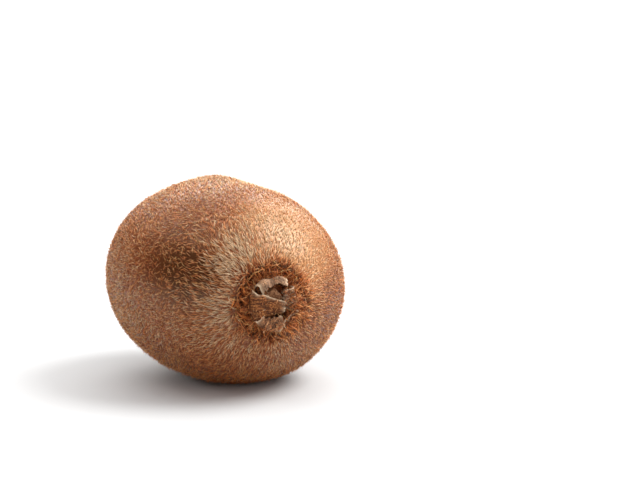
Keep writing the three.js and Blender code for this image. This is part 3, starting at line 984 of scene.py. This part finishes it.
def hair_cone(tree, given):
    """One upright hair of length 1 that carries how far along and across each corner is."""
    measures = {"Vertices": HAIR_SIDES, "Side Segments": given["Segments"], "Radius Top": 0.0,
                "Radius Bottom": 0.5, "Depth": 1.0}
    mesh = add(tree, "GeometryNodeMeshCone", measures, fill_type="NGON")
    place = add(tree, "GeometryNodeInputPosition")
    parts = add(tree, "ShaderNodeSeparateXYZ", [place]).node.outputs
    mesh = store(tree, mesh, "along", parts["Z"])
    mesh = store(tree, mesh, "across", parts["X"])
    swell = maths(tree, "MULTIPLY_ADD", parts["Z"], HAIR_SWELL, 1.0)
    wider = add(tree, "ShaderNodeCombineXYZ", [swell, swell, 1.0])
    swollen = vectors(tree, "MULTIPLY", place, wider)
    return add(tree, "GeometryNodeSetPosition", {"Geometry": mesh, "Position": swollen})


print("sides of a hair:", HAIR_SIDES)

# %% Points where hairs grow
GAP_TUFTS = 1.3
GAP_CONTRAST = 2.0
TINT_TUFTS = 0.8
TINT_TUFT_SHARE = 0.25
CALMER_WHERE_RUBBED_AND_HIGHLIGHT = 0.6
TINT_WIDTH = 0.004


def hair_points(tree, given):
    """Points on the skin, each with its tint and the sideways bend of its tip."""
    dense = maths(tree, "MULTIPLY", given["Density"], stored(tree, given["Cover"]))
    gaps = maths(tree, "MULTIPLY", tufts(tree, given, GAP_TUFTS), given["Gaps"])
    gaps = maths(tree, "MULTIPLY_ADD", gaps, GAP_CONTRAST, 1.0)
    dense = maths(tree, "MULTIPLY", dense, maths(tree, "MAXIMUM", gaps, 0.0))
    points = add(tree, "GeometryNodeDistributePointsOnFaces",
                 {"Mesh": given["Geometry"], "Density": dense, "Seed": given["Seed"]})
    normal = points.node.outputs["Normal"]
    spread = chance(tree, given, "tint", -1.0, 1.0)
    spread = maths(tree, "MULTIPLY_ADD", tufts(tree, given, TINT_TUFTS), TINT_TUFT_SHARE, spread)
    # Hair tints vary less on the rubbed shoulder, which keeps its painted highlight smooth
    calmer = maths(tree, "MULTIPLY_ADD", stored(tree, "rubbed"), -CALMER_WHERE_RUBBED_AND_HIGHLIGHT, 1.0)
    spread = maths(tree, "MULTIPLY", spread, calmer)
    tint = maths(tree, "MULTIPLY_ADD", spread, given["Tint Spread"], stored(tree, "tint"))
    tint = maths(tree, "ADD", tint, given["Tint Shift"])
    tint = maths(tree, "MINIMUM", maths(tree, "MAXIMUM", tint, TINT_WIDTH), 1 - TINT_WIDTH)
    points = store(tree, points, "hair_tint", tint)
    curl = vectors(tree, "SCALE", any_way(tree, given, "curl"), given["Bend"])
    for name in ("length", "curl"):
        curl = vectors(tree, "SCALE", curl, stored(tree, name))
    return store(tree, points, "hair_bend", curl, "FLOAT_VECTOR"), normal


print("tints stay inside", TINT_WIDTH, "to", 1 - TINT_WIDTH)

# %% Bent and marked hairs
LOWEST_HAIR = 0.00002


def bend_and_mark(tree, geometry):
    """Bends the finished hairs, keeps them off the table and gives them their colour map."""
    along = stored(tree, "along")
    bend = vectors(tree, "SCALE", stored(tree, "hair_bend", "FLOAT_VECTOR"),
                   maths(tree, "MULTIPLY", along, along))
    bent = add(tree, "GeometryNodeSetPosition", {"Geometry": geometry, "Offset": bend})
    place = add(tree, "GeometryNodeInputPosition")
    safe = vectors(tree, "MAXIMUM", place, (-1.0, -1.0, LOWEST_HAIR))
    safe = add(tree, "GeometryNodeSetPosition", {"Geometry": bent, "Position": safe})
    across = stored(tree, "across")
    tint = maths(tree, "MULTIPLY_ADD", across, 2 * TINT_WIDTH, stored(tree, "hair_tint"))
    marks = add(tree, "ShaderNodeCombineXYZ", [tint, along])
    return store(tree, safe, "OFBake", marks, "FLOAT2", "CORNER")


print("no hair goes below", LOWEST_HAIR / MM, "mm")

# %% The hair tree
def build_hair_tree():
    tree = bpy.data.node_groups.new("hairs", "GeometryNodeTree")
    for way in ("INPUT", "OUTPUT"):
        tree.interface.new_socket("Geometry", in_out=way, socket_type="NodeSocketGeometry")
    for name, value in HAIR_INPUTS.items():
        kind = "NodeSocket" + SOCKET_KINDS[type(value)]
        socket = tree.interface.new_socket(name.replace("_", " "), socket_type=kind)
        socket.default_value = value
    given = tree.nodes.new("NodeGroupInput").outputs
    points, normal = hair_points(tree, given)
    rotation = hair_rotation(tree, hair_direction(tree, normal, given), given)
    length = chance(tree, given, "length", given["Shortest"], given["Longest"])
    length = maths(tree, "MULTIPLY", stored(tree, "length"), length)
    size = add(tree, "ShaderNodeCombineXYZ", [given["Width"], given["Width"], length])
    copies = add(tree, "GeometryNodeInstanceOnPoints",
                 {"Points": points, "Instance": hair_cone(tree, given), "Rotation": rotation,
                  "Scale": size})
    real = add(tree, "GeometryNodeRealizeInstances", [copies])
    finish = add(tree, "GeometryNodeSetMaterial",
                 {"Geometry": bend_and_mark(tree, real), "Material": given["Material"]})
    tree.links.new(finish, tree.nodes.new("NodeGroupOutput").inputs[0])
    return tree


hair_tree = build_hair_tree()
print("hair tree nodes:", len(hair_tree.nodes))

# %% [markdown]
# ## Colours of the hairs
# Every hair carries a small map of its own: across the map runs the tint, and up the map runs
# the way from root to tip. The first part of the tints is rusty, for the crown, and the rest
# goes from brown through gold to pale straw. One material then colours all the hairs, and no
# two neighbours need look alike.

# %% Hair material
HAIR_TINTS = [
    (0.0, paint(70, 32, 14)),
    (0.2, paint(160, 80, 36)),
    (0.35, paint(236, 140, 70)),
    (0.45, paint(252, 200, 134)),
    (0.5, paint(118, 50, 20)),
    (0.7, paint(243, 152, 96)),
    (0.87, paint(255, 194, 134)),
    (1.0, paint(255, 225, 186)),
]
ROOT_SHADE = 0.34
HAIR_ROUGHNESS = 0.3
HAIR_GLOSS = 0.48
WARM_GLOSS = paint(255, 226, 190)


def colour_ramp(tree, factor, stops):
    colour = add(tree, "ShaderNodeValToRGB", [factor])
    ramp = colour.node.color_ramp
    for element, stop in zip(ramp.elements, (stops[0], stops[-1])):
        element.position, element.color = stop
    for position, value in stops[1:-1]:
        ramp.elements.new(position).color = value
    return colour


def mixed(tree, share, first, second, blend_type="MIX"):
    """A blend of two colours by a share from 0 to 1."""
    return add(tree, "ShaderNodeMix", [share, first, second], data_type="RGBA",
               blend_type=blend_type)


def faded(tree, value, source, result):
    """A value moved from one range to another, each given as (low, high)."""
    return add(tree, "ShaderNodeMapRange",
               {"Value": value, "From Min": source[0], "From Max": source[1],
                "To Min": result[0], "To Max": result[1]})


def new_material(name, **constants):
    """A material with constants on its shader's sockets, its tree and its base colour socket."""
    material = bpy.data.materials.new(name)
    material.use_nodes = True
    sockets = material.node_tree.nodes["Principled BSDF"].inputs
    for label, value in constants.items():
        sockets[label.replace("_", " ")].default_value = value
    return material, material.node_tree, sockets["Base Color"]


def make_hair_material():
    material, tree, base = new_material("kiwi_hair", Roughness=HAIR_ROUGHNESS,
                                        Specular_IOR_Level=HAIR_GLOSS, Specular_Tint=WARM_GLOSS)
    marks = add(tree, "ShaderNodeUVMap", uv_map="OFBake")
    parts = add(tree, "ShaderNodeSeparateXYZ", [marks]).node.outputs
    colour = colour_ramp(tree, parts["X"], HAIR_TINTS)
    shade = faded(tree, parts["Y"], (0.0, 1.0), (ROOT_SHADE, 1.0))
    tree.links.new(mixed(tree, 1.0, colour, shade, "MULTIPLY"), base)
    return material


hair_material = make_hair_material()
print("hair material ready")

# %% Growing the hairs
PER_SQUARE_MM = 1e6


def triangles_in(pieces):
    return sum(len(face.vertices) - 2 for piece in pieces for face in piece.data.polygons)


def grow(name, source, **inputs):
    """Runs the hair tree on a piece and keeps the hairs as a plain mesh of their own."""
    piece = new_object(name, source.data.copy())
    modifier = piece.modifiers.new("hairs", "NODES")
    modifier.node_group = hair_tree
    named = {item.name: item.identifier for item in hair_tree.interface.items_tree
             if item.in_out == "INPUT"}
    modifier[named["Material"]] = hair_material
    for label, value in inputs.items():
        modifier[named[label.replace("_", " ")]] = value
    bpy.context.view_layer.update()
    graph = bpy.context.evaluated_depsgraph_get()
    mesh = bpy.data.meshes.new_from_object(piece.evaluated_get(graph), depsgraph=graph)
    piece.modifiers.remove(modifier)
    piece.data = mesh
    mesh.name = name
    for layer in list(mesh.attributes):
        if not layer.is_required and layer.name not in ("OFBake", "sharp_face", "material_index"):
            mesh.attributes.remove(layer)
    mesh.polygons.foreach_set("use_smooth", [True] * len(mesh.polygons))
    print(name, "triangles:", triangles_in([piece]))
    return piece


CURLY = dict(Density=1.9 * PER_SQUARE_MM, Scatter=0.3, Bend=0.6, Segments=2, Tint_Spread=0.26)
hairs = [
    grow("short_hairs", fruit_skin, Seed=1, Shortest=0.45, Longest=0.9, Width=0.00014,
         Tint_Shift=-0.08, Extra_Lift=0.1, **CURLY),
    grow("middle_hairs", fruit_skin, Seed=2, Shortest=0.6, Longest=1.05, Width=0.00015, **CURLY),
    grow("curly_hairs", fruit_skin, Seed=3, Shortest=0.7, Longest=1.2, Width=0.00015, **CURLY),
    grow("pale_hairs", fruit_skin, Seed=4, Shortest=0.8, Longest=1.5, Width=0.00015,
         Tint_Shift=0.06, Extra_Lift=0.15, **CURLY),
    grow("crown_hairs", fruit_skin, Density=9 * PER_SQUARE_MM, Cover="crown", Seed=5,
         Shortest=0.45, Longest=1.15, Width=0.00028, Scatter=0.75, Bend=1.2, Segments=4,
         Tint_Spread=0.4, Gaps=0.5),
    grow("sepal_felt", dried_sepals, Density=9 * PER_SQUARE_MM, Seed=6, Shortest=0.4,
         Longest=1.1, Width=0.00017, Scatter=0.7, Bend=1.2, Segments=3, Tint_Spread=0.36,
         Gaps=0.8),
]
print("triangles of all hairs:", triangles_in(hairs))

# %% [markdown]
# ## Skin, sepals, scar and styles
# All four are dry plant surfaces, so they share one effect: an uneven mottle made of two
# noises, which lives in a node group and is used wherever a colour has to break up.
# On the skin come small dark dots, where hairs leave it, and the worn and rubbed patches; their
# darker and paler skin is partly painted shade and a painted highlight, and the skin under the
# crown is darkened with painted shade. The sepals read the values stored on their mesh: the inner
# face and the torn margins of a dry sepal are much paler than its outer face, and painted shade
# darkens its creases, its foot and one side of the widest sepal.

# %% A shared mottle
MOTTLE_DETAIL = 3.0
MOTTLE_NOISES = (("Broad", 1.0), ("Fine", 7.0))


def object_place(tree):
    return add(tree, "ShaderNodeTexCoord", output="Object")


def build_mottle():
    tree = bpy.data.node_groups.new("mottle", "ShaderNodeTree")
    tree.interface.new_socket("Size", in_out="INPUT", socket_type="NodeSocketFloat")
    for name, times in MOTTLE_NOISES:
        tree.interface.new_socket(name, in_out="OUTPUT", socket_type="NodeSocketFloat")
    given = tree.nodes.new("NodeGroupInput").outputs
    out = tree.nodes.new("NodeGroupOutput")
    for name, times in MOTTLE_NOISES:
        scale = maths(tree, "MULTIPLY", given["Size"], times)
        pattern = add(tree, "ShaderNodeTexNoise",
                      {"Vector": object_place(tree), "Scale": scale, "Detail": MOTTLE_DETAIL})
        tree.links.new(pattern, out.inputs[name])
    return tree


mottle = build_mottle()
print("mottle outputs:", [name for name, times in MOTTLE_NOISES])

# %% Tools for dry materials
def add_mottle(tree, size):
    """The outputs Broad and Fine of the mottle; a larger size number gives smaller patches."""
    return add(tree, "ShaderNodeGroup", {"Size": size}, node_tree=mottle).node.outputs


def read_value(tree, name):
    return add(tree, "ShaderNodeAttribute", output="Fac", attribute_name=name)


print("tools for dry materials: add_mottle, read_value")

# %% Skin material
SKIN_MOTTLE = 260.0
SKIN_BROAD = [(0.3, paint(106, 50, 23)), (0.5, paint(123, 63, 31)), (0.7, paint(137, 77, 39))]
# Paler skin on the rubbed shoulder, a painted highlight
SKIN_RUBBED_AND_HIGHLIGHT = paint(170, 118, 76)
# Darker skin in the worn patches: partly real wear, partly painted shade
SKIN_WORN_AND_SHADE = paint(64, 32, 6)
SKIN_ROOT = paint(76, 38, 19)
# Near black skin under the crown hairs: painted shade in the gaps between them and round the calyx
CROWN_SHADE_ON_SKIN = paint(20, 7, 3)
SKIN_GLOSS = 0.6
SKIN_GLOSS_TINT = paint(255, 238, 214)
SKIN_ROUGHNESS = 0.36
ROOT_SPACING = 0.75 * MM
ROOT_SIZE = (0.12, 0.3)


def root_dots(tree):
    """Small dark dots where hairs leave the skin: 1 on a dot and 0 between them."""
    cells = add(tree, "ShaderNodeTexVoronoi",
                {"Vector": object_place(tree), "Scale": 1 / ROOT_SPACING}, feature="F1")
    return faded(tree, cells, ROOT_SIZE, (1.0, 0.0))


def make_skin_material():
    material, tree, base = new_material("kiwi_skin", Roughness=SKIN_ROUGHNESS,
                                        Specular_IOR_Level=SKIN_GLOSS,
                                        Specular_Tint=SKIN_GLOSS_TINT)
    colour = colour_ramp(tree, add_mottle(tree, SKIN_MOTTLE)["Broad"], SKIN_BROAD)
    # The painted highlight of the rubbed shoulder
    colour = mixed(tree, read_value(tree, "rubbed"), colour, SKIN_RUBBED_AND_HIGHLIGHT)
    # Worn patches: real wear together with painted shade
    colour = mixed(tree, read_value(tree, "worn"), colour, SKIN_WORN_AND_SHADE)
    colour = mixed(tree, root_dots(tree), colour, SKIN_ROOT)
    # Painted shade under the crown hairs
    colour = mixed(tree, read_value(tree, "crown"), colour, CROWN_SHADE_ON_SKIN)
    tree.links.new(colour, base)
    return material


fruit_skin.data.materials.append(make_skin_material())
print("skin material:", fruit_skin.data.materials[-1].name)

# %% Sepal material
SEPAL_MOTTLE = 700.0
SEPAL_OUTSIDE = [(0.3, paint(40, 17, 6)), (0.5, paint(102, 56, 26)), (0.7, paint(184, 122, 68))]
SEPAL_INSIDE = [(0.3, paint(104, 78, 58)), (0.5, paint(154, 126, 100)), (0.7, paint(200, 180, 156))]
SEPAL_MARGIN = paint(216, 194, 164)
# Colour of the painted shade in a sepal's creases, at its foot and along one side
SEPAL_SHADE = paint(34, 16, 8)
SEPAL_SHADE_SHARE = 0.55
SEPAL_GLOSS = 0.2
SEPAL_ROUGHNESS = 0.7
STREAKS = Measures(along=0.35, across=3.0, detail=4.0, strength=0.8)
# Painted shade at the foot of a sepal, where it rises from the ring: millimetres along it, and how
# dark
SHADED_ROOT = dict(source=(0.6, 2.6), result=(0.85, 0.0))
MARGIN_SHARPNESS = 3.0
MARGIN_BREAKS = (4.0, -1.2)
MARGIN_LOST_IN_FUZZ = 0.7


def make_sepal_material():
    material, tree, base = new_material("dry_sepal", Roughness=SEPAL_ROUGHNESS,
                                        Specular_IOR_Level=SEPAL_GLOSS)
    patchy = add_mottle(tree, SEPAL_MOTTLE)
    along = maths(tree, "MULTIPLY", read_value(tree, "lengthwise"), STREAKS.along)
    across = maths(tree, "MULTIPLY", read_value(tree, "sidelong"), STREAKS.across)
    spot = add(tree, "ShaderNodeCombineXYZ", [along, across])
    streak = add(tree, "ShaderNodeTexNoise",
                 {"Vector": spot, "Scale": 1.0, "Detail": STREAKS.detail})
    streak = maths(tree, "ADD", streak, -0.5)
    blend = maths(tree, "MULTIPLY_ADD", streak, STREAKS.strength, patchy["Fine"])
    outer = colour_ramp(tree, blend, SEPAL_OUTSIDE)
    inner = colour_ramp(tree, blend, SEPAL_INSIDE)
    outer = mixed(tree, read_value(tree, "pale"), outer, inner)
    faces = mixed(tree, read_value(tree, "outside"), inner, outer)
    # Painted shade in the creases and along one side
    shade_share = maths(tree, "MULTIPLY", read_value(tree, "hollow_shade"), SEPAL_SHADE_SHARE)
    faces = mixed(tree, shade_share, faces, SEPAL_SHADE)
    # Painted shade at each blade's foot
    shade_near_root = faded(tree, read_value(tree, "lengthwise"), **SHADED_ROOT)
    faces = mixed(tree, shade_near_root, faces, SEPAL_SHADE)
    edge = maths(tree, "POWER", read_value(tree, "margin"), MARGIN_SHARPNESS)
    breaks = maths(tree, "MULTIPLY_ADD", patchy["Broad"], *MARGIN_BREAKS)
    edge = maths(tree, "MINIMUM", maths(tree, "MULTIPLY", edge, breaks), 1.0)
    bare = maths(tree, "MULTIPLY_ADD", read_value(tree, "fuzz"), -MARGIN_LOST_IN_FUZZ, 1.0)
    edge = maths(tree, "MULTIPLY", edge, bare)
    tree.links.new(mixed(tree, edge, faces, SEPAL_MARGIN), base)
    return material


dried_sepals.data.materials.append(make_sepal_material())
print("sepal material:", dried_sepals.data.materials[-1].name)

# %% Cork and dry styles
DRY_ROUGHNESS = 0.8
CORK_MOTTLE = 500.0
CORK_COLOURS = [(0.3, paint(96, 60, 38)), (0.7, paint(186, 140, 100))]
STYLE_MOTTLE = 400.0
STYLE_COLOURS = [(0.3, paint(34, 22, 15)), (0.7, paint(86, 56, 34))]


def make_mottled_material(name, size, colours):
    material, tree, base = new_material(name, Roughness=DRY_ROUGHNESS)
    tree.links.new(colour_ramp(tree, add_mottle(tree, size)["Fine"], colours), base)
    return material


cork = make_mottled_material("cork", CORK_MOTTLE, CORK_COLOURS)
stalk_scar.data.materials.append(cork)
dry_style = make_mottled_material("dry_style", STYLE_MOTTLE, STYLE_COLOURS)
dried_styles.data.materials.append(dry_style)
print("materials:", sorted(material.name for material in bpy.data.materials))

# %% [markdown]
# ## The studio
# The fruit lies on a plain white surface that runs back out of sight. A key light stands high
# on the right and gives the one clear highlight, on the shoulder beside the calyx. Broad
# lights above, behind and at the side draw the form and shine through the fringe of hairs.
# The weak fills on the left, in front and low down only keep the dark side readable, so they
# leave no glints of their own. All are suns, which light every camera position alike.

# %% Floor and lights
FLOOR_HALF = 15000.0
FLOOR_COLOUR = (0.506, 0.519, 0.538, 1.0)
FLOOR_ROUGHNESS = 0.9
CAMERA_AZIMUTH = math.radians(-21.7)
CAMERA_ELEVATION = math.radians(9.0)
BACK = Vector((math.sin(CAMERA_AZIMUTH) * math.cos(CAMERA_ELEVATION),
               -math.cos(CAMERA_AZIMUTH) * math.cos(CAMERA_ELEVATION),
               math.sin(CAMERA_ELEVATION)))
RIGHT = Vector((math.cos(CAMERA_AZIMUTH), math.sin(CAMERA_AZIMUTH), 0))
UP = BACK.cross(RIGHT)

# (name, way it comes from, energy, colour, width in degrees as the fruit sees it, glints)
LIGHTS = [
    ("key", RIGHT * 0.66 + UP * 0.75, 3.5, (1.0, 0.99, 0.96), 38, True),
    ("side", RIGHT * 0.9 + UP * 0.4 + BACK * 0.1, 0.8, (1.0, 0.97, 0.93), 80, True),
    ("top", UP * 0.95 - BACK * 0.2, 3.4, (1.0, 1.0, 0.97), 100, True),
    ("back", UP * 0.5 - BACK * 0.86, 2.2, (1.0, 0.98, 0.95), 60, True),
    ("left", -RIGHT * 0.9 + UP * 0.45 - BACK * 0.1, 0.6, (1.0, 0.97, 0.95), 14, False),
    ("front", BACK - RIGHT * 0.25, 1.4, (1.0, 0.86, 0.79), 110, False),
    ("low", BACK * 0.8 + RIGHT * 0.5, 1.2, (1.0, 0.77, 0.71), 100, False),
]
WORLD_STRENGTH = 0.02


def make_floor():
    corners = np.array([(-1, -1, 0), (1, -1, 0), (1, 1, 0), (-1, 1, 0)]) * FLOOR_HALF
    floor = mesh_object("floor", corners, [(0, 1, 2, 3)])
    surface = new_material("white_surface", Roughness=FLOOR_ROUGHNESS, Base_Color=FLOOR_COLOUR)
    floor.data.materials.append(surface[0])
    return floor


def add_light(name, direction, energy, colour, spread, glints):
    light = bpy.data.lights.new(name, "SUN")
    light.energy = energy
    light.color = colour
    light.angle = math.radians(spread)
    lamp = new_object(name, light)
    lamp.visible_glossy = glints
    target = Vector((0, 0, MIDDLE_HEIGHT * MM))
    lamp.location = target + Vector(direction).normalized()
    lamp.rotation_euler = (target - lamp.location).to_track_quat("-Z", "Y").to_euler()


make_floor()
for light in LIGHTS:
    add_light(*light)

world = bpy.data.worlds.new("studio")
world.use_nodes = True
background = world.node_tree.nodes["Background"].inputs
background["Color"].default_value = (1.0, 1.0, 1.0, 1.0)
background["Strength"].default_value = WORLD_STRENGTH
bpy.context.scene.world = world
bpy.context.scene.view_settings.view_transform = "Standard"
print("lights:", [light[0] for light in LIGHTS])

# %% [markdown]
# ## The camera
# A long lens close to the surface sees the fruit almost side on, with its stem end turned
# towards the viewer. The fruit sits left of the middle of the frame, so the camera aims at a
# point beside it rather than at the fruit itself.

# %% Camera
LENS = 100.0
SENSOR_WIDTH = 36.0
NEAREST_SEEN = 0.01
CAMERA_DISTANCE = 433.3
AIM_RIGHT = 23.4
AIM_UP = 9.55


def make_camera():
    camera = new_object("camera", bpy.data.cameras.new("camera"))
    camera.data.lens = LENS
    camera.data.sensor_width = SENSOR_WIDTH
    camera.data.clip_start = NEAREST_SEEN
    middle = Vector((0, 0, MIDDLE_HEIGHT))
    aim = middle + RIGHT * AIM_RIGHT + UP * AIM_UP
    turn = Matrix((RIGHT, UP, BACK)).transposed().to_4x4()
    camera.matrix_world = Matrix.Translation((aim + BACK * CAMERA_DISTANCE) * MM) @ turn
    return camera


bpy.context.scene.camera = make_camera()
print("camera at", [round(value, 3) for value in bpy.context.scene.camera.matrix_world.translation])

# %% [markdown]
# ## Handing over
# Each piece is fixed to the body it moves with, and the solid piece that it stands for is
# hidden. The fruit has no joints, so there is only one body.

# %% Finish
REPLACED = [
    (fruit_skin, "fruit_body", "skin"),
    (dried_sepals, "calyx", "sepals"),
    (stalk_scar, "stem_scar", "scar"),
    (dried_styles, "style_tuft", "styles"),
]
for piece, node, slot in REPLACED:
    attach(piece, "root")
    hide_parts(node)
for hair in hairs:
    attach(hair, "root")
